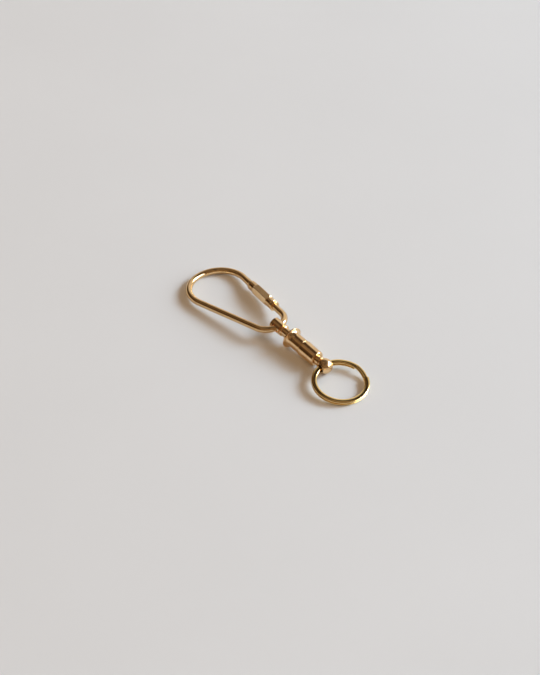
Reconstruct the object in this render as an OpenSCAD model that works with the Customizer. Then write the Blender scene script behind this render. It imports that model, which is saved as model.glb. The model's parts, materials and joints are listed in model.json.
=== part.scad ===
// Belt key clip: a pear-shaped wire loop closed by a screwed lock sleeve, a stud that the loop
// swings on, a barrel whose flanged collar releases the stud, and a swivel eye with a split ring.
// It lies at rest on the plane z = 0, with +X from the loop to the ring.

/* [Loop] */
// Diameter of the loop's wire
wire_d = 3.2; // [2.8:0.1:3.3]
// Bend radius of the wide end, to the middle of the wire
wide_bend_r = 14.1; // [13:0.1:15]
// Bend radius of the narrow end, to the middle of the wire
narrow_bend_r = 7.9; // [7.5:0.1:9]
// Distance between the centres of the two bends
bend_span = 34.6; // [34:0.1:40]
// Turn of the loop in its own plane as it lies in the stud's loose hole, in degrees
loop_lie = 1.8; // [0:0.1:2]

/* [Lock sleeve] */
// Plain wire between the wide bend and the closed sleeve
plain_l = 6.5; // [6:0.1:8]
// Length of the lock sleeve
sleeve_l = 20; // [19.5:0.1:20.5]
// Size across the six flats
sleeve_flats = 4.95; // [4.9:0.05:5.3]
// Diameter of the sleeve's upper neck
sleeve_neck_d = 4.6; // [4.5:0.1:4.7]
// Rise of the sleeve's thread for one turn
thread_pitch = 0.8; // [0.6:0.05:0.85]
// Turns from closed to open
open_turns = 7; // [4:1:7]
// Length of the pilot that the closed sleeve covers past the gap
pilot_l = 1.6; // [1:0.1:2]
// Diameter of the fixed stop collar
stop_d = 4.9; // [4.4:0.1:5.2]
// Length of the fixed stop collar
stop_l = 1.4; // [1.2:0.1:2]

/* [Stud] */
// Diameter of the stud's head
head_d = 5.7; // [5.4:0.1:6]
// Head length from its cross hole's axis towards the loop, without the dome
head_front = 2.9; // [2.7:0.1:3.6]
// Head length from its cross hole's axis towards the barrel
head_back = 2.9; // [2.7:0.1:3.2]
// Diameter of the neck
neck_d = 4.6; // [4.3:0.1:4.8]
// Diameter of the plug inside the socket
plug_d = 3.6; // [3.4:0.1:3.8]
// Length of the plug
plug_l = 7.8; // [7.6:0.1:8]

/* [Barrel] */
// Distance from the loop's hole in the stud to the front face of the flange
flange_face = 9; // [8.5:0.1:10]
// Diameter of the release collar's flange
flange_d = 10.3; // [9.5:0.1:11]
// Thickness of the flange's rim
rim_t = 0.9; // [0.8:0.05:1.2]
// Length of the hollow sweep from the rim down to the collar
sweep_l = 2.4; // [2:0.1:2.8]
// Diameter of the release collar
collar_d = 7.2; // [7.1:0.05:7.4]
// Length of the release collar with its flange
collar_l = 8.5; // [8.4:0.05:8.8]
// Travel of the release collar towards the loop
collar_travel = 1.5; // [1.4:0.05:1.6]
// Diameter of the rear barrel at the seam
rear_d = 7.7; // [7.5:0.1:8.4]
// Diameter of the rear barrel at its far end
rear_end_d = 7.4; // [7.2:0.1:7.6]
// Length of the rear barrel
rear_l = 9.4; // [9:0.1:10.5]
// Wall of the socket tube
tube_wall = 0.7; // [0.65:0.05:0.75]

/* [Ball lock] */
// Number of lock balls
lock_balls = 4; // [4]
// Diameter of a lock ball
lock_ball_d = 1.2; // [1.15:0.05:1.25]
// Depth that a locked ball reaches into the socket's bore
ball_reach = 0.35; // [0.3:0.01:0.36]
// Wire diameter of the release spring
spring_wire_d = 0.32; // [0.28:0.02:0.36]
// Turns of the release spring
spring_turns = 4; // [3:0.5:4.5]

/* [Swivel and ring] */
// Diameter of the swivel eye's ball
eye_ball_d = 7.2; // [6.8:0.1:7.6]
// Free length from the rear barrel's end to the middle of the ball
eye_reach = 5; // [4.9:0.1:5.6]
// Diameter of the boss between barrel and ball
boss_d = 4.6; // [4.3:0.1:4.8]
// Diameter of the bead next to the ball
bead_d = 5.2; // [5:0.1:5.4]
// Diameter of the shank inside the barrel
shank_d = 2.5; // [2.2:0.1:2.7]
// Outer diameter of the split ring
ring_od = 26; // [24:0.5:28]
// Width of the split ring's section, seen from above
ring_w = 2.4; // [2.2:0.1:2.6]
// Height of the split ring's section, both coils together
ring_h = 2.2; // [2:0.1:2.4]
// Turn of the ring in its own plane as it lies in the ball's loose hole, in degrees
ring_lie = 4; // [0:0.5:5]

/* [Hidden] */

// Facets: turned pieces, wire sections, small holes and balls
turn_fn = 40;
wire_fn = 16;
small_fn = 20;
spring_steps = 10;
spring_sides = 6;
arc_steps = 5;

// Clearances: round fits of moving pieces, screwed or pressed fits, faces that move past each
// other, and the loose play of the wire and the ring in their holes
run_fit = 0.05;
still_fit = 0.02;
face_gap = 0.12;
wire_play = 0.1;
ring_play = 0.4;
overrun = 1;

// Small edges: broken edges, the rounding of the rim and of the rear barrel's end
edge = 0.15;
rim_round = 0.35;
rear_round = 0.8;
hole_edge = 0.3;

// Colours
brass = [0.72, 0.58, 0.38];
pale_brass = [0.8, 0.68, 0.48];
steel = [0.75, 0.75, 0.76];
nylon = [0.92, 0.91, 0.86];

// Loop in its own plane: the cross hole's middle is the origin, the wide end lies towards -X
tangent_a = acos((wide_bend_r - narrow_bend_r) / bend_span);
limb_l = bend_span * sin(tangent_a);
head_sag = narrow_bend_r - sqrt(pow(narrow_bend_r, 2) - pow(head_d / 2, 2));
narrow_x = head_sag / 2 - narrow_bend_r;
wide_x = narrow_x - bend_span;

// The straight limbs are a hair thinner than the bends and let into them, so that they join
limb_hair = 0.005;
limb_d = wire_d - 2 * limb_hair;
limb_inlet = 0.1;

// Places along the limb that carries the sleeve, from the wide bend's end
sleeve_travel = thread_pitch * open_turns;
sleeve_end = plain_l + sleeve_l;
tip_cover = 0.2;
thread_tip = sleeve_end - sleeve_travel - tip_cover;
pilot_tip = sleeve_end - pilot_l;
stop_start = sleeve_end + face_gap;
limb_edge = 0.4;

// Sleeve, from its upper end: chamfered tip, neck, flare, six flats and lower neck
sleeve_tip_d = 4.1;
sleeve_tip_l = 1.1;
sleeve_upper_l = 4.6;
flare_l = 1.1;
sleeve_lower_l = 3.4;
flat_edge_l = 0.45;
flat_count = 6;
flat_turn = 39;
sleeve_corner_d = sleeve_flats / cos(180 / flat_count);
flat_corner_edge = 0.05;
sleeve_low_d = 4.8;
collar_round = 0.3;
thread_bore_d = wire_d + 2 * run_fit;
sleeve_bore_play = 0.15;
sleeve_bore_d = wire_d + 2 * sleeve_bore_play;
packing_d = 4.1;
packing_l = 1;
packing_start = 5.6;
thread_start = packing_start + packing_l + 2 * run_fit;
thread_l = 6.3;
thread_end = thread_start + thread_l;

// Stud: dome of the head, the groove behind the head and the bead on the neck
dome_h = 0.4;
shoulder_l = 0.3;
groove_l = 0.3;
groove_depth = 0.2;
groove_d = neck_d - 2 * groove_depth;
neck_bead_l = 1.1;
plug_edge = 0.4;
plug_r = plug_d / 2;
cross_hole_d = wire_d + head_sag + head_d * sin(loop_lie) + 2 * wire_play;

// Socket tube and collar, along the barrel's axis from the cross hole's middle
bore_r = plug_r + run_fit;
tube_r = bore_r + tube_wall;
tube_recess = 0.3;
tube_front = flange_face + tube_recess;
stud_shoulder = tube_front - face_gap;
plug_end = stud_shoulder + plug_l;
bore_spare = 0.4;
bore_end = plug_end + bore_spare;
screw_l = 3;
screw_r = tube_r + tube_wall / 2;
seam = flange_face + collar_l;
rear_front = seam + face_gap;
tube_step = rear_front + edge;
tube_end = tube_step + screw_l;

// Retaining ring in its groove
ring_slot_l = 0.4;
ring_slot_depth = 0.2;
ring_slot_start = tube_front + ring_slot_l;
ring_slot_end = ring_slot_start + ring_slot_l;
retainer_split = 0.9;

// Wedge that holds the balls in: its slope lets a ball move out by its throw over the travel
ball_r = lock_ball_d / 2;
ball_throw = ball_reach - still_fit;
wedge_a = atan(ball_throw / collar_travel);
ball_place_r = bore_r - ball_reach + ball_r;
land_l = 0.35;
land_r = tube_r + run_fit;
chamber_wall = 0.45;
chamber_r = collar_d / 2 - chamber_wall;
land_share = 9 / 14;
land_front = flange_face + collar_l * land_share;
wedge_start = land_front + land_l;
wedge_rise_at_ball = ball_place_r + (ball_r + still_fit) / cos(wedge_a) - land_r;
ball_t = wedge_start + wedge_rise_at_ball / tan(wedge_a);
wedge_end_r = land_r + (seam - wedge_start) * tan(wedge_a);
ball_hole_r = ball_r + run_fit / 2;
first_ball_a = 45;

// Spring in the chamber between tube and collar
spring_r = (tube_r + chamber_r) / 2;
spring_front = ring_slot_end + still_fit + spring_wire_d / 2;
spring_back = land_front - still_fit - spring_wire_d / 2;

// Rear barrel
rear_end = rear_front + rear_l;
rear_bore_r = screw_r + still_fit;
rear_wall_t = 2;
rear_wall_start = rear_end - rear_wall_t;
rear_edge = 0.25;

// Split ring: two coils of oval wire with a thin seam, joined by the crossing that climbs from
// the lower one. The wire's crowned faces meet its round sides smoothly.
ring_mean_r = (ring_od - ring_w) / 2;
ring_seam = 0.1;
coil_h = (ring_h - ring_seam) / 2;
crown_r = 3.2;
crown_drop = crown_r - coil_h / 2;
side_r = (crown_r * coil_h - pow(ring_w / 2, 2) - pow(coil_h / 2, 2)) / (2 * crown_r - ring_w);
side_x = ring_w / 2 - side_r;
crown_end_x = side_x * crown_r / (crown_r - side_r);
coil_level = (coil_h + ring_seam) / 2;
cross_a = 35;
cross_at_a = 87.5;
end_gap_a = 2.5;
lap_a = 1.5;
cross_slope = asin(coil_level / (ring_mean_r * sin(cross_a / 2)));
ring_push = ring_play;

// Swivel: shank, washer and nut inside the rear barrel, boss, bead and ball outside
shank_r = shank_d / 2;
shank_hole_r = shank_r + run_fit;
washer_t = 0.3;
washer_play = 0.35;
washer_d = 2 * (rear_bore_r - washer_play);
nut_t = 1.1;
nut_step = 0.2;
nut_d = washer_d - 2 * nut_step;
washer_end = rear_wall_start - still_fit;
washer_start = washer_end - washer_t;
nut_end = washer_start - still_fit;
nut_start = nut_end - nut_t;
shank_start = nut_start - edge;
boss_start = rear_end + face_gap;
eye_t = rear_end + eye_reach;
eye_ball_r = eye_ball_d / 2;
bead_l = 0.7;
bead_end = eye_t - sqrt(pow(eye_ball_r, 2) - pow(bead_d / 2, 2)) + edge;
ball_sag = ring_mean_r - sqrt(pow(ring_mean_r, 2) - pow(eye_ball_r, 2));
eye_hole_d = ring_w + ball_sag + 2 * ring_play;
eye_hole_y = sqrt(pow(eye_ball_r, 2) - pow(eye_hole_d / 2, 2));

// Rest: the barrel stands on flange and ball, the loop and the ring reach down to the surface
eye_stand = eye_t - flange_face - rim_t / 2;
barrel_tilt = asin((flange_d - eye_ball_d) / 2 / eye_stand);
eye_x = eye_t * cos(barrel_tilt);
hole_z = eye_ball_r + eye_t * sin(barrel_tilt);
loop_reach = wide_bend_r - wide_x * cos(loop_lie);
loop_tilt = asin((hole_z - wire_d / 2) / loop_reach);
ring_reach = (ring_mean_r - ring_push) * cos(ring_lie) + ring_mean_r;
crown_rise = crown_r - ring_h / 2;
ring_tilt = atan(crown_rise / ring_reach)
    + asin((eye_ball_r - crown_r) / norm([ring_reach, crown_rise]));

// Box of the whole clip, to set the origin under its middle
low_x = -loop_reach * cos(loop_tilt) - wire_d / 2;
high_x = eye_x + (ring_reach + ring_w / 2) * cos(ring_tilt);
wide_y = wide_x * sin(loop_lie);
low_y = wide_y - wide_bend_r - wire_d / 2;
flats_at = [wide_x + wide_bend_r * cos(tangent_a) + (plain_l + sleeve_upper_l) * sin(tangent_a),
    wide_bend_r * sin(tangent_a) - (plain_l + sleeve_upper_l) * cos(tangent_a)];
sleeve_y = flats_at[0] * sin(loop_lie) + flats_at[1] * cos(loop_lie) + sleeve_corner_d / 2;
high_y = max(sleeve_y, wide_y + wide_bend_r + wire_d / 2);
middle = [(low_x + high_x) / 2, (low_y + high_y) / 2];

// Points on an arc of an ellipse in a profile
function arc(centre, radii, from_a, to_a) = [
    for (i = [0:arc_steps])
        let (a = from_a + (to_a - from_a) * i / arc_steps)
        [centre[0] + radii[0] * cos(a), centre[1] + radii[1] * sin(a)]
];

// Loop, barrel and ring from their own frames to the rest pose
module place_loop() {
    translate([-middle[0], -middle[1], hole_z])
        rotate([0, -loop_tilt, 0])
            rotate([0, 0, loop_lie])
                children();
}

module place_barrel() {
    translate([-middle[0], -middle[1], hole_z])
        rotate([0, barrel_tilt, 0])
            children();
}

module place_ring() {
    translate([eye_x - middle[0], -middle[1], eye_ball_r])
        rotate([0, ring_tilt, 0])
            rotate([0, 0, -ring_lie])
                translate([ring_mean_r - ring_push, 0, 0])
                    children();
}

// The straight limb that carries the sleeve, its own X from the wide bend to the narrow one
module on_limb(side = 1) {
    translate([wide_x + wide_bend_r * cos(tangent_a), side * wide_bend_r * sin(tangent_a), 0])
        rotate([0, 0, side * (tangent_a - 90)])
            children();
}

// A profile of [radius, place along the axis] turned about the X axis
module turned(sides = turn_fn) {
    rotate([0, 90, 0])
        rotate_extrude($fn = sides)
            children();
}

// Round bar along X
module bar(from_x, to_x, diameter) {
    translate([from_x, 0, 0])
        rotate([0, 90, 0])
            cylinder(h = to_x - from_x, d = diameter, $fn = turn_fn);
}

// Wire along X with a broken edge of the given size at either end
module tipped_bar(from_x, to_x, from_edge, to_edge) {
    limb_r = limb_d / 2;
    turned(wire_fn)
        polygon([
            [0, from_x], [limb_r - from_edge, from_x], [limb_r, from_x + from_edge],
            [limb_r, to_x - to_edge], [limb_r - to_edge, to_x], [0, to_x]
        ]);
}

// Bent stretch of wire about the Z axis
module bend(radius, from_a, sweep_a) {
    rotate([0, 0, from_a])
        rotate_extrude(angle = sweep_a, $fn = turn_fn)
            translate([radius, 0])
                circle(d = wire_d, $fn = wire_fn);
}

// Cross hole along Y, countersunk at both ends from the given distance outwards
module cross_hole(hole_d, sink_y) {
    rotate([90, 0, 0])
        cylinder(h = 2 * (sink_y + overrun), d = hole_d, center = true, $fn = turn_fn);
    for (side = [-1, 1])
        rotate([-90 * side, 0, 0])
            translate([0, 0, sink_y])
                cylinder(h = overrun, d1 = hole_d, d2 = hole_d + 2 * overrun, $fn = turn_fn);
}

// The wire: two bends, a whole limb, and a limb cut by the gap under the sleeve
module loop_wire() {
    color(brass)
        place_loop()
            union() {
                translate([wide_x, 0, 0])
                    bend(wide_bend_r, tangent_a, 360 - 2 * tangent_a);
                translate([narrow_x, 0, 0])
                    bend(narrow_bend_r, -tangent_a, 2 * tangent_a);
                on_limb(-1)
                    tipped_bar(-limb_inlet, limb_l + limb_inlet, 0, 0);
                on_limb() {
                    tipped_bar(-limb_inlet, thread_tip, 0, limb_edge);
                    tipped_bar(pilot_tip, limb_l + limb_inlet, limb_edge, 0);
                }
            }
}

// Collar pressed on the wire, the seat of the closed sleeve
module stop_collar() {
    inner_r = wire_d / 2 + still_fit;
    outer_r = stop_d / 2;
    color(pale_brass)
        place_loop()
            on_limb()
                translate([stop_start, 0, 0])
                    turned()
                        polygon([
                            [inner_r, 0], [outer_r - collar_round, 0],
                            [outer_r, collar_round], [outer_r, stop_l - edge],
                            [outer_r - edge, stop_l], [inner_r, stop_l]
                        ]);
}

// Outline of the sleeve's turned shape, without its bores
module sleeve_outline() {
    tip_r = sleeve_tip_d / 2;
    neck_r = sleeve_neck_d / 2;
    corner_r = sleeve_corner_d / 2 - flat_corner_edge;
    low_r = sleeve_low_d / 2;
    polygon([
        [0, 0], [tip_r, 0], [neck_r, sleeve_tip_l], [neck_r, sleeve_upper_l],
        [corner_r, sleeve_upper_l + flare_l], [corner_r, sleeve_l - sleeve_lower_l - flat_edge_l],
        [low_r, sleeve_l - sleeve_lower_l], [low_r, sleeve_l - collar_round],
        [low_r - collar_round, sleeve_l], [0, sleeve_l]
    ]);
}

// Lock sleeve: turned ends, six flats, a screwed bore and a groove for the packing ring
module lock_sleeve() {
    color(brass)
        place_loop()
            on_limb()
                translate([plain_l, 0, 0])
                    difference() {
                        intersection() {
                            turned()
                                sleeve_outline();
                            rotate([flat_turn, 0, 0])
                                rotate([0, 90, 0])
                                    linear_extrude(height = sleeve_l)
                                        circle(d = sleeve_corner_d, $fn = flat_count);
                        }
                        bar(-overrun, packing_start, sleeve_bore_d);
                        bar(packing_start, thread_start, packing_d + 2 * run_fit);
                        bar(thread_start, thread_end, thread_bore_d);
                        bar(thread_end, sleeve_l + overrun, sleeve_bore_d);
                    }
}

// Thin ring in the sleeve, pushed along the wire by the sleeve's groove
module packing_ring() {
    color(nylon)
        place_loop()
            on_limb()
                translate([plain_l + packing_start + run_fit, 0, 0])
                    turned()
                        translate([wire_d / 2 + run_fit, 0])
                            square([(packing_d - wire_d) / 2 - run_fit, packing_l]);
}

// Stud: domed head with the loop's cross hole, groove, beaded neck and grooved plug
module stud() {
    head_r = head_d / 2;
    neck_r = neck_d / 2;
    groove_start = head_back + shoulder_l;
    groove_end = groove_start + groove_l;
    bead_mid = groove_end + neck_bead_l / 2;
    color(brass)
        place_barrel()
            difference() {
                turned()
                    difference() {
                        polygon(concat(
                            [for (p = arc([0, -head_front], [head_r, dome_h], -90, 0)) p],
                            [
                                [head_r, head_back], [groove_d / 2, groove_start],
                                [groove_d / 2, groove_end]
                            ],
                            arc([neck_r, bead_mid], [head_r - neck_r, neck_bead_l / 2], -90, 90),
                            [
                                [neck_r, stud_shoulder], [plug_r, stud_shoulder],
                                [plug_r, plug_end - plug_edge],
                                [plug_r - plug_edge, plug_end], [0, plug_end]
                            ]
                        ));
                        translate([ball_place_r, ball_t])
                            circle(r = ball_r + still_fit, $fn = small_fn);
                    }
                cross_hole(cross_hole_d, head_r - hole_edge);
            }
}

// Socket tube: blind bore for the plug, radial holes for the balls, screwed into the rear barrel
module socket_tube() {
    color(brass)
        place_barrel()
            difference() {
                turned()
                    polygon([
                        [bore_r + edge, tube_front], [tube_r - edge, tube_front],
                        [tube_r, tube_front + edge],
                        [tube_r, ring_slot_start], [tube_r - ring_slot_depth, ring_slot_start],
                        [tube_r - ring_slot_depth, ring_slot_end], [tube_r, ring_slot_end],
                        [tube_r, tube_step], [screw_r, tube_step], [screw_r, tube_end - edge],
                        [screw_r - edge, tube_end], [0, tube_end], [0, bore_end], [bore_r, bore_end],
                        [bore_r, tube_front + edge]
                    ]);
                for (i = [0:lock_balls - 1])
                    on_ball(i)
                        cylinder(h = screw_r, r = ball_hole_r, $fn = small_fn);
            }
}

// Frame of one lock ball: on the barrel's axis, its own Z pointing out through the ball
module on_ball(index) {
    translate([ball_t, 0, 0])
        rotate([first_ball_a + index * 360 / lock_balls, 0, 0])
            children();
}

module lock_ball(index) {
    color(steel)
        place_barrel()
            on_ball(index)
                translate([0, 0, ball_place_r])
                    sphere(d = lock_ball_d, $fn = small_fn);
}

module lock_ball_1() {
    lock_ball(0);
}

module lock_ball_2() {
    lock_ball(1);
}

module lock_ball_3() {
    lock_ball(2);
}

module lock_ball_4() {
    lock_ball(3);
}

// Release collar: flange with a hollow sweep, spring chamber, land and the wedge over the balls
module release_collar() {
    flange_r = flange_d / 2;
    collar_r = collar_d / 2;
    sweep_top_r = flange_r - rim_round;
    sweep_start = flange_face + rim_t;
    color(brass)
        place_barrel()
            turned()
                polygon(concat(
                    [[chamber_r + edge, flange_face]],
                    arc([flange_r - rim_round, flange_face + rim_round], [rim_round, rim_round], -90, 0),
                    arc([flange_r - rim_round, sweep_start - rim_round], [rim_round, rim_round], 0, 90),
                    arc([sweep_top_r, sweep_start + sweep_l], [collar_r - sweep_top_r, -sweep_l], 90, 0),
                    [
                        [collar_r, seam - edge], [collar_r - edge, seam], [wedge_end_r, seam],
                        [land_r, wedge_start], [land_r, land_front], [chamber_r, land_front],
                        [chamber_r, flange_face + edge]
                    ]
                ));
}

// Release spring: round wire wound between the retaining ring and the collar's land
module release_spring() {
    steps = spring_turns * spring_steps;
    pitch = (spring_back - spring_front) / spring_turns;
    wire_r = spring_wire_d / 2;
    lead = atan(pitch / (2 * PI * spring_r));
    points = [
        for (i = [0:steps])
            let (a = 360 * i / spring_steps, x = spring_front + pitch * i / spring_steps)
            for (k = [0:spring_sides - 1])
                let (
                    b = 360 * k / spring_sides,
                    out = spring_r + wire_r * cos(b),
                    aside = wire_r * sin(b)
                )
                [
                    x + aside * cos(lead),
                    out * cos(a) + aside * sin(lead) * sin(a),
                    out * sin(a) - aside * sin(lead) * cos(a)
                ]
    ];
    sides = [
        for (i = [0:steps - 1])
            for (k = [0:spring_sides - 1])
                let (
                    n = (k + 1) % spring_sides,
                    here = i * spring_sides,
                    next = here + spring_sides
                )
                each [[here + k, here + n, next + n], [here + k, next + n, next + k]]
    ];
    first = [for (k = [1:spring_sides - 2]) [0, k + 1, k]];
    base = steps * spring_sides;
    last = [for (k = [1:spring_sides - 2]) [base, base + k, base + k + 1]];
    echo(least_gap = pitch - spring_wire_d);
    color(steel)
        place_barrel()
            polyhedron(points, concat(sides, first, last));
}

// Split retaining ring in the tube's groove, the front seat of the spring
module retaining_ring() {
    inner_r = tube_r - ring_slot_depth + still_fit;
    outer_r = chamber_r - 2 * run_fit;
    color(steel)
        place_barrel()
            difference() {
                turned()
                    translate([inner_r, ring_slot_start + still_fit])
                        square([outer_r - inner_r, ring_slot_l - 2 * still_fit]);
                translate([ring_slot_start - overrun, -retainer_split / 2, 0])
                    cube([ring_slot_l + 2 * overrun, retainer_split, chamber_r + overrun]);
            }
}

// Rear barrel: slightly tapered shell with a rounded rear end and the hole of the swivel's shank
module rear_barrel() {
    front_r = rear_d / 2;
    end_r = rear_end_d / 2;
    color(brass)
        place_barrel()
            turned()
                polygon(concat(
                    [
                        [rear_bore_r, rear_front], [front_r - rear_edge, rear_front],
                        [front_r, rear_front + rear_edge]
                    ],
                    arc([end_r - rear_round, rear_end - rear_round], [rear_round, rear_round], 0, 90),
                    [
                        [shank_hole_r, rear_end], [shank_hole_r, rear_wall_start],
                        [rear_bore_r, rear_wall_start]
                    ]
                ));
}

// Swivel eye: shank, boss, bead and the cross-drilled ball
module swivel_eye() {
    boss_r = boss_d / 2;
    bead_r = bead_d / 2;
    color(brass)
        place_barrel()
            difference() {
                union() {
                    turned()
                        polygon(concat(
                            [
                                [0, shank_start], [shank_r - edge, shank_start],
                                [shank_r, shank_start + edge],
                                [shank_r, boss_start], [boss_r, boss_start], [boss_r, bead_end - bead_l]
                            ],
                            arc([boss_r, bead_end - bead_l / 2], [bead_r - boss_r, bead_l / 2], -90, 90),
                            [[boss_r, eye_t - eye_ball_r / 2], [0, eye_t]]
                        ));
                    translate([eye_t, 0, 0])
                        rotate([90, 0, 0])
                            sphere(r = eye_ball_r, $fn = turn_fn);
                }
                translate([eye_t, 0, 0])
                    cross_hole(eye_hole_d, eye_hole_y - hole_edge);
            }
}

// Round nut riveted on the shank
module swivel_nut() {
    outer_r = nut_d / 2;
    color(brass)
        place_barrel()
            turned()
                polygon([
                    [shank_r + still_fit, nut_start], [outer_r - edge, nut_start],
                    [outer_r, nut_start + edge], [outer_r, nut_end], [shank_r + still_fit, nut_end]
                ]);
}

// Washer between the nut and the rear wall
module thrust_washer() {
    inner_r = shank_r + run_fit;
    color(steel)
        place_barrel()
            turned()
                translate([inner_r, washer_start])
                    square([washer_d / 2 - inner_r, washer_t]);
}

// Oval section of one coil of the split ring, at its mean radius
module coil_section() {
    translate([ring_mean_r, 0]) {
        intersection() {
            translate([0, -crown_drop])
                circle(r = crown_r, $fn = turn_fn);
            translate([0, crown_drop])
                circle(r = crown_r, $fn = turn_fn);
            square([2 * crown_end_x, coil_h], center = true);
        }
        for (x = [-side_x, side_x])
            translate([x, 0])
                circle(r = side_r, $fn = small_fn);
    }
}

// Stretch of a coil about the ring's axis, from one angle onwards
module coil(from_a, sweep_a) {
    rotate([0, 0, from_a])
        rotate_extrude(angle = sweep_a, $fn = 2 * turn_fn)
            coil_section();
}

// Split ring: the wire starts in the lower coil, climbs at the crossing and ends in the upper one
module key_ring() {
    half_a = cross_a / 2;
    turn_a = 360 - cross_a - end_gap_a;
    color(pale_brass)
        place_ring()
            rotate([0, 0, cross_at_a])
                union() {
                    translate([0, 0, -coil_level])
                        coil(half_a + end_gap_a, turn_a + lap_a);
                    rotate([cross_slope, 0, 0])
                        coil(-half_a, cross_a);
                    translate([0, 0, coil_level])
                        coil(half_a - lap_a, turn_a + lap_a);
                }
}

loop_wire();
stop_collar();
lock_sleeve();
packing_ring();
stud();
socket_tube();
rear_barrel();
release_collar();
release_spring();
retaining_ring();
lock_ball_1();
lock_ball_2();
lock_ball_3();
lock_ball_4();
swivel_eye();
swivel_nut();
thrust_washer();
key_ring();
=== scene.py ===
# %% [markdown]
# A belt key clip in brass, lying on a pale table. A pear-shaped wire loop goes round a belt
# strap and is closed by a screwed lock sleeve. A stud hangs in the loop and plugs into a
# barrel, whose flanged collar lets the stud go. A swivel eye at the barrel's end holds a
# split ring for keys.
#
# The turned and bent pieces could be modelled here, but they already have their true shape
# and their real size as solids. So they are loaded first and never changed. This lesson
# gives them their finish, winds the one spring that has to shorten, adds the table and the
# light, and looks at the clip as the photograph does.

import json
import math

import bmesh
import bpy
from mathutils import Matrix, Vector


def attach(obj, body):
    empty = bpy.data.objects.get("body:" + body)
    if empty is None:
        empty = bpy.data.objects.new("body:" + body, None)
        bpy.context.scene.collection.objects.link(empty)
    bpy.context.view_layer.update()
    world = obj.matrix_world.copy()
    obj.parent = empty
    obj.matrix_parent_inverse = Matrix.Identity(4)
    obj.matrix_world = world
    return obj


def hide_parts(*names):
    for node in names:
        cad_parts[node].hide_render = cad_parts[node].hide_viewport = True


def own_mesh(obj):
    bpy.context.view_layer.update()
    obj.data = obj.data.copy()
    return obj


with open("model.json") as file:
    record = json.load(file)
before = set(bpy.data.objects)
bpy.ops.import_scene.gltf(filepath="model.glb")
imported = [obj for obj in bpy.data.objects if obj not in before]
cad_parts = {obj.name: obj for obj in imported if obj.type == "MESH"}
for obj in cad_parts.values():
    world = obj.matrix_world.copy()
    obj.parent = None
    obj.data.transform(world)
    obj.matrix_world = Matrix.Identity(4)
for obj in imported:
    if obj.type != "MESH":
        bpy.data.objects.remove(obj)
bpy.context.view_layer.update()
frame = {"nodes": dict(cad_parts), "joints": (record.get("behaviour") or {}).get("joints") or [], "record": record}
nodes = frame["nodes"]
print("solids loaded:", len(nodes))

# %% [markdown]
# Sizes are real ones. A small helper turns millimetres into Blender's metres. The places
# that matter could be typed in, but the joints of the frame already know them: the loop
# swings about the hole in the stud, and the ring swings about the middle of the eye's ball.

# %% Units and points of the clip
MM = 0.001


def mm(*sizes):
    """Millimetres to metres, one number or a point."""
    scaled = [size * MM for size in sizes]
    return scaled[0] if len(scaled) == 1 else Vector(scaled)


joints = {joint["name"]: joint for joint in frame["joints"]}
stud_hole = Vector(joints["loop_swing"]["pos_m"])
eye_centre = Vector(joints["ring_swing"]["pos_m"])
barrel_axis = Vector(joints["stud_spin"]["axis"]).normalized()
barrel_tilt = math.asin(-barrel_axis.z)
print("hole to eye, mm:", round((eye_centre - stud_hole).length / MM, 2))

# %% [markdown]
# The photograph was taken from about forty degrees above the table with a long lens. A
# camera can be set by eye, but circles and lines say more: it was found by fitting the loop
# and the ring to their outline in the picture. How much the circles are flattened gives its
# height above the table, and how fast they shrink with distance gives its lens.
#
# The picture has a compass of its own, which the light uses too: azimuth 0 is its right and
# 90 is away from the camera. The clip's turn leads from it to the clip's own directions. The
# camera aims at a point on the table, which is given by the way from there to the eye.

# %% Camera
IMAGE_WIDTH_PX = 540
FOCAL_PX = 1400
PX_PER_MM = 2.175
CAMERA_ELEVATION = math.radians(41.7)
CLIP_TURN = math.radians(49.7)
AIM_TO_EYE = mm(24.43, -23.07, 0)
NEAREST_SEEN = mm(10)

turn = Matrix.Rotation(CLIP_TURN, 3, "Z")
aim = eye_centre - turn @ AIM_TO_EYE
aim.z = 0
distance = mm(FOCAL_PX / PX_PER_MM)
away = turn @ Vector((0, -math.cos(CAMERA_ELEVATION), math.sin(CAMERA_ELEVATION)))

camera_data = bpy.data.cameras.new("camera")
camera_data.sensor_fit = "HORIZONTAL"
camera_data.lens = camera_data.sensor_width * FOCAL_PX / IMAGE_WIDTH_PX
camera_data.clip_start = NEAREST_SEEN
camera = bpy.data.objects.new("camera", camera_data)
bpy.context.scene.collection.objects.link(camera)
camera.location = aim + away * distance
camera.rotation_euler = (math.pi / 2 - CAMERA_ELEVATION, 0, CLIP_TURN)
bpy.context.scene.camera = camera
print("lens mm:", round(camera_data.lens, 1), "distance mm:", round(distance / MM))

# %% [markdown]
# A small toolbox for materials. Nodes can be made and linked one line at a time, but the
# recipe drowns in such lines. These helpers add a node, set its sockets and link it in one
# call, so that each finish reads as a recipe. Every material starts from a Principled shader.

# %% Helpers for materials


def new_material(name):
    """An empty material with a Principled shader, and its node tree."""
    material = bpy.data.materials.new(name)
    material.use_nodes = True
    tree = material.node_tree
    return material, tree, tree.nodes["Principled BSDF"]


def add(tree, kind, **settings):
    """A node of the given kind, with its own settings."""
    node = tree.nodes.new(kind)
    for setting, value in settings.items():
        setattr(node, setting, value)
    return node


def feed(tree, sources, node):
    """Feeds a node's sockets: another node's output is linked, any other value is set."""
    for socket, source in sources.items():
        if isinstance(source, bpy.types.NodeSocket):
            tree.links.new(source, node.inputs[socket])
        else:
            node.inputs[socket].default_value = source
    return node


print("helpers ready: new_material, add, feed")

# %% [markdown]
# Four nodes come back in almost every recipe: a cloudy noise, a range that stretches a
# value, a mix of two colours, and arithmetic on two values. The Mix node has sockets for each
# kind of data under the same names, so its two colours are reached by their numbers.

# %% Helpers for noise, ranges, mixes and arithmetic
COLOUR_A = 6
COLOUR_B = 7
MIXED_COLOUR = 2


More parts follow.
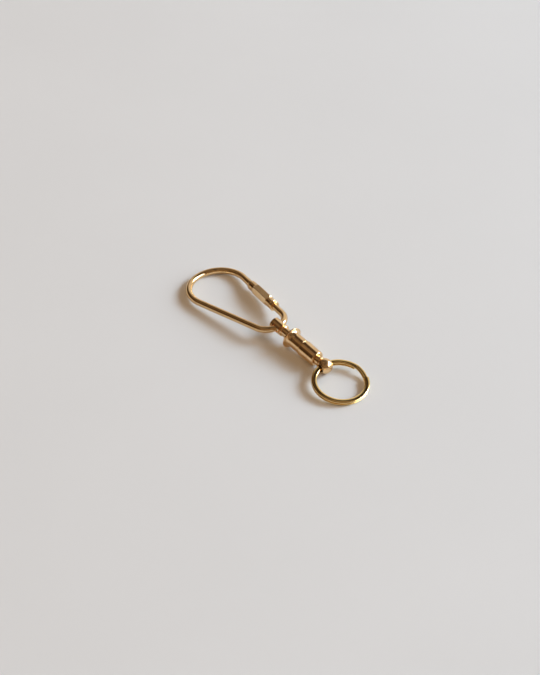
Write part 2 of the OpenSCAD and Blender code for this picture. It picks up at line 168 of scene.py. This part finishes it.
def noise(tree, sources, **settings):
    """The value of a Noise texture."""
    return feed(tree, sources, add(tree, "ShaderNodeTexNoise", **settings)).outputs["Fac"]


def stretch(tree, value, sources, **settings):
    """A value mapped from one range to another."""
    node = add(tree, "ShaderNodeMapRange", **settings)
    return feed(tree, {"Value": value, **sources}, node).outputs["Result"]


def mix(tree, factor, first, second):
    """Two colours, mixed by a factor."""
    node = add(tree, "ShaderNodeMix", data_type="RGBA")
    feed(tree, {"Factor": factor, COLOUR_A: first, COLOUR_B: second}, node)
    return node.outputs[MIXED_COLOUR]


def combine(tree, operation, first, second):
    """Two values put together by a Math node."""
    node = add(tree, "ShaderNodeMath", operation=operation)
    return feed(tree, {0: first, 1: second}, node).outputs[0]


print("helpers ready: noise, stretch, mix, combine")

# %% [markdown]
# Effects that several finishes share become node groups: built once, placed in each material
# with its own values. A group's sockets are made on its interface, by name and kind.

# %% Helpers for node groups
FLOAT = "NodeSocketFloat"
VECTOR = "NodeSocketVector"
COLOUR = "NodeSocketColor"


def group_with(name, inputs, outputs):
    """A shader node group with named sockets, its tree and its two end nodes."""
    tree = bpy.data.node_groups.new(name, "ShaderNodeTree")
    for socket, kind in inputs.items():
        tree.interface.new_socket(socket, in_out="INPUT", socket_type=kind)
    for socket, kind in outputs.items():
        tree.interface.new_socket(socket, in_out="OUTPUT", socket_type=kind)
    return tree, tree.nodes.new("NodeGroupInput"), tree.nodes.new("NodeGroupOutput")


def placed_group(tree, group, sources):
    """The node group in a material, with its inputs fed."""
    node = tree.nodes.new("ShaderNodeGroup")
    node.node_tree = group
    return feed(tree, sources, node)


print("helpers ready: group_with, placed_group")

# %% [markdown]
# Brass that is handled every day is never one colour. Where fingers and pockets rub it, it
# is pale and bright; elsewhere a thin brown film grows in soft patches. The patches could be
# painted on an image, but a cloudy noise needs no unwrapping and fits every piece. The group
# mixes the two colours by that noise, and gives the same mask out so that the film can be
# duller.

# %% Group: brown film on brass
CLOUD_DETAIL = 6.0
CLOUD_ROUGHNESS = 0.6
FILM_STARTS = 0.35
FILM_FULL = 0.7

film, film_in, film_out = group_with(
    "brass_film",
    {"Place": VECTOR, "Rubbed": COLOUR, "Film": COLOUR, "Patches": FLOAT, "Amount": FLOAT},
    {"Colour": COLOUR, "Mask": FLOAT},
)
clouds = noise(
    film,
    {
        "Vector": film_in.outputs["Place"],
        "Scale": film_in.outputs["Patches"],
        "Detail": CLOUD_DETAIL,
        "Roughness": CLOUD_ROUGHNESS,
    },
)
cloud_edge = stretch(
    film,
    clouds,
    {"From Min": FILM_STARTS, "From Max": FILM_FULL},
    interpolation_type="SMOOTHSTEP",
)
film_mask = combine(film, "MULTIPLY", cloud_edge, film_in.outputs["Amount"])
film_mix = mix(film, film_mask, film_in.outputs["Rubbed"], film_in.outputs["Film"])
film.links.new(film_mix, film_out.inputs["Colour"])
film.links.new(film_mask, film_out.inputs["Mask"])
print("group:", film.name, "nodes:", len(film.nodes))

# %% [markdown]
# Fine scratches come from keys and pockets, and they run every way. They could be drawn as
# thin lines, but at this size nobody sees single ones. A noise that is stretched along one
# direction makes streaks, and two of them are crossed. Only their sharpest crests count. The
# height goes to a Bump node in the material, which keeps the shine of the metal and breaks
# its highlights.

# %% Group: fine scratches
STREAK_DETAIL = 2.0
CREST_STARTS = 0.62
CREST_FULL = 0.72
STREAKS = [
    {"Rotation": (0.3, 0.5, 0.9), "Scale": (1.0, 14.0, 14.0)},
    {"Rotation": (0.7, -0.4, -0.6), "Scale": (1.0, 11.0, 11.0)},
]

scratches, scratches_in, scratches_out = group_with(
    "fine_scratches",
    {"Place": VECTOR, "Fineness": FLOAT},
    {"Height": FLOAT},
)


def scratch_layer(streak):
    """Crests of a noise that is stretched along one direction."""
    mapping = add(scratches, "ShaderNodeMapping")
    feed(scratches, {"Vector": scratches_in.outputs["Place"], **streak}, mapping)
    streaks = noise(
        scratches,
        {
            "Vector": mapping.outputs[0],
            "Scale": scratches_in.outputs["Fineness"],
            "Detail": STREAK_DETAIL,
        },
    )
    return stretch(scratches, streaks, {"From Min": CREST_STARTS, "From Max": CREST_FULL})


layers = [scratch_layer(streak) for streak in STREAKS]
scratches.links.new(combine(scratches, "MAXIMUM", *layers), scratches_out.inputs["Height"])
print("group:", scratches.name, "layers:", len(layers))

# %% [markdown]
# A piece turned on a lathe keeps rings of tool marks. They could be cut into the mesh, but
# they are only hundredths of a millimetre deep, so a bump is enough. They only change along
# the piece's axis: the Mapping node in each material turns that axis onto X first, and the
# noise here reads X alone.

# %% Group: lathe rings
RING_DETAIL = 4.0
RING_ROUGHNESS = 0.7

lathe, lathe_in, lathe_out = group_with(
    "lathe_rings",
    {"Place": VECTOR, "Rings": FLOAT},
    {"Height": FLOAT},
)
lathe_parts = feed(lathe, {0: lathe_in.outputs["Place"]}, add(lathe, "ShaderNodeSeparateXYZ"))
lathe_noise = noise(
    lathe,
    {
        "W": lathe_parts.outputs["X"],
        "Scale": lathe_in.outputs["Rings"],
        "Detail": RING_DETAIL,
        "Roughness": RING_ROUGHNESS,
    },
    noise_dimensions="1D",
)
lathe.links.new(lathe_noise, lathe_out.inputs["Height"])
print("group:", lathe.name, "nodes:", len(lathe.nodes))

# %% [markdown]
# Every brass piece uses the same recipe with its own values: a Mapping node that turns the
# pattern along the piece, the film for colour and dullness, scratches and, where the piece
# is turned, lathe rings for the bump. One function with values is easier to keep alike than
# seven materials built by hand. The metal itself is set on the shader.
#
# A noise's scale counts per metre here: 260 gives patches of about four millimetres, and the
# 9000 of the lathe rings sets them a tenth of a millimetre apart.

# %% Recipe for brass
FILM_PATCHES = 260.0
SCRATCH_FINENESS = 420.0
BUMP_STRENGTH = 0.6
UNTURNED = (0.0, 0.0, 0.0)
BROWN_FILM = (0.42, 0.24, 0.09, 1)


def brass(name, rubbed, film_amount, polish, dull, bump_mm, rings=0, along=UNTURNED):
    """A brass finish: its rubbed colour, roughness where rubbed and dull, and tool marks."""
    material, tree, shader = new_material(name)
    coordinates = add(tree, "ShaderNodeTexCoord").outputs["Object"]
    mapping = add(tree, "ShaderNodeMapping")
    place = feed(tree, {"Vector": coordinates, "Rotation": along}, mapping).outputs[0]
    tone = placed_group(
        tree,
        film,
        {
            "Place": place,
            "Rubbed": (*rubbed, 1),
            "Film": BROWN_FILM,
            "Patches": FILM_PATCHES,
            "Amount": film_amount,
        },
    )
    roughness = stretch(tree, tone.outputs["Mask"], {"To Min": polish, "To Max": dull})
    scratch = placed_group(tree, scratches, {"Place": place, "Fineness": SCRATCH_FINENESS})
    marks = scratch.outputs["Height"]
    if rings:
        ring_marks = placed_group(tree, lathe, {"Place": place, "Rings": rings})
        marks = combine(tree, "SUBTRACT", ring_marks.outputs["Height"], marks)
    bump = feed(
        tree,
        {"Height": marks, "Strength": BUMP_STRENGTH, "Distance": mm(bump_mm)},
        add(tree, "ShaderNodeBump"),
    )
    tree.links.new(tone.outputs["Colour"], shader.inputs["Base Color"])
    tree.links.new(roughness, shader.inputs["Roughness"])
    tree.links.new(bump.outputs["Normal"], shader.inputs["Normal"])
    shader.inputs["Metallic"].default_value = 1.0
    return material


print("recipe ready: brass")

# %% [markdown]
# The values follow how each piece is made and used. Drawn wire and the stop collar are
# smooth. The sleeve is turned between the fingers and looks a little browner. The barrel and
# the brass inside it keep their lathe rings. The split ring is the yellowest. It also rubs
# the ball of the swivel eye from every side, so the eye is duller than the barrel and its
# lights are softer.

# %% Brass finishes
LATHE_RINGS = {"rings": 9000.0, "along": (0.0, -barrel_tilt, 0.0)}

BRASS_VALUES = {
    "wire_brass": {
        "rubbed": (0.84, 0.59, 0.31),
        "film_amount": 0.24, "polish": 0.08, "dull": 0.15, "bump_mm": 0.003,
    },
    "sleeve_brass": {
        "rubbed": (0.8, 0.56, 0.3),
        "film_amount": 0.3, "polish": 0.1, "dull": 0.18, "bump_mm": 0.003,
    },
    "fitting_brass": {
        "rubbed": (0.84, 0.6, 0.32),
        "film_amount": 0.25, "polish": 0.1, "dull": 0.2, "bump_mm": 0.004,
    },
    "barrel_brass": {
        "rubbed": (0.89, 0.62, 0.34),
        "film_amount": 0.28, "polish": 0.13, "dull": 0.21, "bump_mm": 0.003, **LATHE_RINGS,
    },
    "eye_brass": {
        "rubbed": (0.89, 0.62, 0.34),
        "film_amount": 0.28, "polish": 0.2, "dull": 0.32, "bump_mm": 0.004,
    },
    "inner_brass": {
        "rubbed": (0.8, 0.6, 0.33),
        "film_amount": 0.25, "polish": 0.2, "dull": 0.3, "bump_mm": 0.004, **LATHE_RINGS,
    },
    "ring_brass": {
        "rubbed": (0.95, 0.71, 0.32),
        "film_amount": 0.14, "polish": 0.1, "dull": 0.17, "bump_mm": 0.003,
    },
}
finishes = {name: brass(name, **values) for name, values in BRASS_VALUES.items()}
print("brass finishes:", len(finishes))

# %% [markdown]
# Two other materials hide inside. Hardened steel for the balls, the spring, the washer and
# the retaining ring is grey with a ground grain, and the packing ring is natural nylon, which
# lets a little light in. A flat grey would do for pieces that hardly show, but a fine noise
# in the roughness costs little, and it keeps the steel from looking like plastic.

# %% Steel and nylon


def grained(name, colour, grain, detail, smooth, rough):
    """A material whose roughness varies with a fine noise, and its shader."""
    material, tree, shader = new_material(name)
    coordinates = add(tree, "ShaderNodeTexCoord").outputs["Object"]
    specks = noise(tree, {"Vector": coordinates, "Scale": grain, "Detail": detail})
    roughness = stretch(tree, specks, {"To Min": smooth, "To Max": rough})
    tree.links.new(roughness, shader.inputs["Roughness"])
    shader.inputs["Base Color"].default_value = colour
    return material, shader


finishes["steel"], steel_shader = grained(
    "steel", colour=(0.62, 0.62, 0.64, 1), grain=4000.0, detail=3.0, smooth=0.18, rough=0.4
)
steel_shader.inputs["Metallic"].default_value = 1.0
finishes["nylon"], nylon_shader = grained(
    "nylon", colour=(0.86, 0.84, 0.76, 1), grain=1500.0, detail=2.0, smooth=0.4, rough=0.6
)
nylon_shader.inputs["Subsurface Weight"].default_value = 0.1
print("all finishes:", len(finishes))

# %% [markdown]
# Each solid gets the finish that the record names for it. It could be done by hand, node by
# node, but the record already holds the list. Only the swivel eye takes a finish of its own
# instead of the barrel's.

# %% Finishes on the solids
finish_of = {entry["node"]: entry["material_slot"] for entry in frame["record"]["subparts"]}
finish_of["swivel_eye"] = "eye_brass"
for node_name, finish_name in finish_of.items():
    for slot in nodes[node_name].material_slots:
        slot.material = finishes[finish_name]
print("finished solids:", len(finish_of))

# %% [markdown]
# The release spring is squeezed when the collar is pulled towards the loop. A solid keeps its length, so this
# piece gets a mesh of its own. A spring is one round wire wound at a steady pitch. A curve with thickness could
# draw it, and so could a Screw modifier; here a small circle is spun about the barrel's axis, with a shift at each
# step, which winds it in one go. Its ends and its radius are read off the solid. The sides of the wire are shaded
# smooth, and its two cut ends stay flat.
#
# Spinning lists the new faces in another order each time, so they are sorted along the wire.
# The mesh is then the same in every run.

# %% Winding a spring
SPRING_TURNS = 4
SPRING_WIRE = mm(0.32)
STEPS_PER_TURN = 36
WIRE_SIDES = 12


def wound_spring(solid, on_axis, axis, turns, wire):
    """A coil as long and as wide as the solid, its lower end and its length."""
    reach = [(corner.co - on_axis).dot(axis) for corner in solid.data.vertices]
    spread = [(corner.co - on_axis).cross(axis).length for corner in solid.data.vertices]
    low, length = min(reach), max(reach) - min(reach)
    outwards = axis.orthogonal().normalized()
    start = on_axis + axis * (low + wire / 2) + outwards * (max(spread) - wire / 2)
    coil = bmesh.new()
    section = bmesh.ops.create_circle(
        coil, cap_ends=False, radius=wire / 2, segments=WIRE_SIDES
    )["verts"]
    upright = Matrix((outwards, axis, outwards.cross(axis))).transposed().to_4x4()
    upright.translation = start
    bmesh.ops.transform(coil, matrix=upright, verts=section)
    steps = turns * STEPS_PER_TURN
    bmesh.ops.spin(
        coil,
        geom=coil.verts[:] + coil.edges[:],
        cent=on_axis,
        axis=axis,
        dvec=axis * ((length - wire) / steps),
        angle=math.tau * turns,
        steps=steps,
    )
    bmesh.ops.holes_fill(coil, edges=coil.edges[:])
    bmesh.ops.recalc_face_normals(coil, faces=coil.faces[:])
    for face in coil.faces:
        face.smooth = len(face.verts) == 4
    coil.verts.index_update()
    corner_count = len(coil.verts)

    def along_wire(face):
        """A face's place along the wire, from the numbers of its corners."""
        numbers = [corner.index for corner in face.verts]
        return min(numbers) * corner_count + max(numbers)

    coil.faces.sort(key=along_wire)
    mesh = bpy.data.meshes.new("coil_spring")
    coil.to_mesh(mesh)
    coil.free()
    spring = bpy.data.objects.new("coil_spring", mesh)
    bpy.context.scene.collection.objects.link(spring)
    return spring, on_axis + axis * low, length


coil_spring, spring_foot, spring_length = wound_spring(
    nodes["release_spring"],
    Vector(joints["stud_spin"]["pos_m"]),
    barrel_axis,
    SPRING_TURNS,
    SPRING_WIRE,
)
coil_spring.data.materials.append(finishes["steel"])
print("spring length, mm:", round(spring_length / MM, 2))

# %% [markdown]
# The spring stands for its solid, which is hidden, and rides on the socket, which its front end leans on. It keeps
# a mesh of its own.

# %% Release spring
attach(coil_spring, "socket")
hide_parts("release_spring")
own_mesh(coil_spring)

# %% [markdown]
# The clip lies on a pale grey table top with a trace of warmth. A slab with an edge could
# stand for it, but the photograph shows no edge, so a wide plane is enough, and a low view
# finds its edge only far away. A faint noise keeps it from being one flat tone.

# %% Table top
TABLE_HALF = 3.0
TABLE_CLOUDS = {"Scale": 9.0, "Detail": 3.0}
TABLE_DARK = (0.71, 0.704, 0.7, 1)
TABLE_LIGHT = (0.75, 0.744, 0.74, 1)

table_mesh = bpy.data.meshes.new("table_top")
table_shape = bmesh.new()
bmesh.ops.create_grid(table_shape, x_segments=1, y_segments=1, size=TABLE_HALF)
table_shape.to_mesh(table_mesh)
table_shape.free()
table_top = bpy.data.objects.new("table_top", table_mesh)
bpy.context.scene.collection.objects.link(table_top)

table_material, table_tree, table_shader = new_material("table_top")
table_place = add(table_tree, "ShaderNodeTexCoord").outputs["Object"]
table_noise = noise(table_tree, {"Vector": table_place, **TABLE_CLOUDS})
table_colour = mix(table_tree, table_noise, TABLE_DARK, TABLE_LIGHT)
table_tree.links.new(table_colour, table_shader.inputs["Base Color"])
table_shader.inputs["Roughness"].default_value = 0.7
table_shader.inputs["Specular IOR Level"].default_value = 0.2
table_mesh.materials.append(table_material)
print("table top half width, m:", TABLE_HALF)

# %% [markdown]
# The light comes from one wide window on the right. A sun lamp would give shadows with a
# hard edge, and one large panel shadows with no edge; the photograph's have an edge and a
# soft rim. So the window is two panels. The sky in its middle is small and bright and gives
# the shadows their edge; it stands about thirty degrees high, as their length tells. The
# curtains beside it are dimmer and much wider: they soften the shadows and lay the broad
# white streaks on the brass.
#
# The third panel is the warm light that the room throws back into the shadows from the left.
# Metal would show it as a spot that the photograph lacks, so it is hidden from reflections.

# %% Window
PANEL_DISTANCE = 5.0


def panel_light(name, azimuth, elevation, width, height, radiance, colour):
    """An oval lamp panel that faces the clip, placed by the picture's compass in degrees.

    Radiance 1 looks as bright as a white sheet.
    """
    data = bpy.data.lights.new(name, "AREA")
    data.shape = "ELLIPSE"
    data.size = width
    data.size_y = height
    area = math.pi * width * height / 4
    data.energy = radiance * math.pi * area
    data.color = colour
    lamp = bpy.data.objects.new(name, data)
    bpy.context.scene.collection.objects.link(lamp)
    bearing = math.radians(azimuth) + CLIP_TURN
    rise = math.radians(elevation)
    flat = math.cos(rise)
    way = Vector((flat * math.cos(bearing), flat * math.sin(bearing), math.sin(rise)))
    lamp.location = way * PANEL_DISTANCE
    lamp.rotation_euler = way.to_track_quat("Z", "Y").to_euler()
    print(name, "power, W:", round(data.energy, 1))
    return lamp


panel_light(
    "sky", azimuth=20, elevation=29, width=2.0, height=1.6, radiance=22.0,
    colour=(0.56, 0.79, 1.0),
)
panel_light(
    "curtains", azimuth=3, elevation=26, width=6.4, height=3.4, radiance=4.7,
    colour=(0.9, 0.95, 1.0),
)
fill = panel_light(
    "fill", azimuth=180, elevation=60, width=6.0, height=6.0, radiance=0.8,
    colour=(1.0, 0.66, 0.36),
)
fill.visible_glossy = False

# %% [markdown]
# Brass shows the room more than its own colour, so the room needs a plan. Real walls could
# be built round the table, but the world's background can be painted by direction with much
# less: its Generated coordinate is the direction itself. These helpers make soft masks, by
# the height above the horizon, as the sine of the elevation, and by the angle from one
# azimuth of the picture's compass.

# %% Masks for the room
world = bpy.data.worlds.new("room")
bpy.context.scene.world = world
world.use_nodes = True
room = world.node_tree
room_direction = add(room, "ShaderNodeTexCoord").outputs["Generated"]


def room_step(value, full_at, none_at):
    """A soft mask: full at the first value and past it, empty at the second and past it."""
    limits = {"From Min": none_at, "From Max": full_at}
    return stretch(room, value, limits, interpolation_type="SMOOTHSTEP")


def height_mask(full_at, none_at):
    """A mask by the sine of the elevation."""
    parts = feed(room, {0: room_direction}, add(room, "ShaderNodeSeparateXYZ"))
    return room_step(parts.outputs["Z"], full_at, none_at)


def side_mask(azimuth, full_within, none_beyond):
    """A mask by the angle from one azimuth, all in degrees."""
    back = (0.0, 0.0, -CLIP_TURN - math.radians(azimuth))
    mapping = add(room, "ShaderNodeMapping")
    turned_way = feed(room, {"Vector": room_direction, "Rotation": back}, mapping)
    parts = feed(room, {0: turned_way.outputs[0]}, add(room, "ShaderNodeSeparateXYZ"))
    bearing = combine(room, "ARCTAN2", parts.outputs["Y"], parts.outputs["X"])
    off = feed(room, {0: bearing}, add(room, "ShaderNodeMath", operation="ABSOLUTE"))
    return room_step(off.outputs[0], math.radians(full_within), math.radians(none_beyond))


print("helpers ready: height_mask, side_mask")

# %% [markdown]
# Most of the room is dim and warm, which gives the metal its dark core. The camera's side,
# the upper left and the ceiling are a little lighter. The brass in the photograph isn't
# evenly dark there: it mirrors things that can't be made out on a wire of three millimetres.
# Panels could be hung up for them, but a coarse noise stands for them all.

# %% Dim part of the room
DIM_ROOM = (0.07, 0.04, 0.018, 1)
FRONT_ROOM = (0.24, 0.165, 0.1, 1)
LEFT_ROOM = (0.2, 0.135, 0.08, 1)
CEILING = (0.2, 0.145, 0.1, 1)
CLUTTER = {"Scale": 4.5, "Detail": 2.0}
CLUTTER_SHADES = {"From Min": 0.36, "From Max": 0.64, "To Min": 0.1, "To Max": 1.6}

front_mask = side_mask(azimuth=-90, full_within=40, none_beyond=80)
left_mask = combine(
    room,
    "MULTIPLY",
    side_mask(azimuth=158, full_within=22, none_beyond=34),
    height_mask(full_at=0.62, none_at=0.5),
)
ceiling_mask = height_mask(full_at=0.93, none_at=0.83)
room_colour = mix(room, front_mask, DIM_ROOM, FRONT_ROOM)
room_colour = mix(room, left_mask, room_colour, LEFT_ROOM)
room_colour = mix(room, ceiling_mask, room_colour, CEILING)

clutter = noise(room, {"Vector": room_direction, **CLUTTER})
clutter_shade = stretch(room, clutter, CLUTTER_SHADES)
shading = add(room, "ShaderNodeVectorMath", operation="SCALE")
room_colour = feed(room, {0: room_colour, "Scale": clutter_shade}, shading).outputs[0]
print("room nodes so far:", len(room.nodes))

# %% [markdown]
# Two parts are bright: the lowest stretch of the walls all round, just above the table, and
# the pale wall behind the clip. The wall ends softly between about forty and fifty degrees,
# and it draws the cream edges of the barrel and the loop. A lamp panel could do this too,
# but it ends in a hard line, which the metal would show.

# %% Lit walls
LOW_WALLS = (0.5, 0.4, 0.28, 1)
BACK_WALL = (0.8, 0.75, 0.7, 1)

low_mask = height_mask(full_at=0.1, none_at=0.2)
wall_mask = combine(
    room,
    "MULTIPLY",
    side_mask(azimuth=58, full_within=24, none_beyond=68),
    height_mask(full_at=0.6, none_at=0.78),
)
room_colour = mix(room, low_mask, room_colour, LOW_WALLS)
room_colour = mix(room, wall_mask, room_colour, BACK_WALL)
print("room nodes so far:", len(room.nodes))

# %% [markdown]
# A camera that looks across the table sees past its far edge. A backdrop could stand there,
# but it would show in the brass. The Light Path node tells the camera's own rays apart, so
# they get a plain pale tone, like the table's, and everything else still sees the room.

# %% Pale backdrop for the camera
PALE_BACKDROP = (0.68, 0.68, 0.68, 1)

seen_by_camera = add(room, "ShaderNodeLightPath").outputs["Is Camera Ray"]
room_colour = mix(room, seen_by_camera, room_colour, PALE_BACKDROP)
background = room.nodes["Background"]
feed(room, {"Color": room_colour, "Strength": 1.0}, background)
print("room nodes:", len(room.nodes))

# %% [markdown]
# Last, the picture's tones. A film-like view would bend the colours, and Standard shows them as they are written.

# %% Result
bpy.context.scene.view_settings.view_transform = "Standard"
